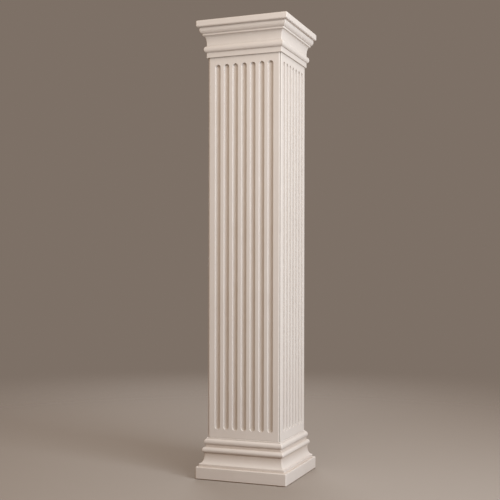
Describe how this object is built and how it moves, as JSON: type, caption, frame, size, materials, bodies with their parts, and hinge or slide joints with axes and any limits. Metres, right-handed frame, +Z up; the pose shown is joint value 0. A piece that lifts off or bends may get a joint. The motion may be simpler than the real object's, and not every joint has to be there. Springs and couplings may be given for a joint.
{
  "type": "fluted column",
  "caption": "Square column with a fluted shaft, a square plinth under a moulded base, and a moulded capital with a flat top.",
  "frame": {"origin": "centre of the plinth's underside, on the ground", "axes": "+Z up the column's height; the four faces look along -Y (front), +X, +Y and -X and are alike"},
  "size_m": [0.512, 0.512, 2.44],
  "materials": {
    "painted_timber": "matt cream-white paint with a faint orange-peel, fine specks and softened arrises"
  },
  "bodies": {
    "root": {"base": "painted_timber", "shaft": "painted_timber", "capital": "painted_timber"}
  },
  "joints": []
}
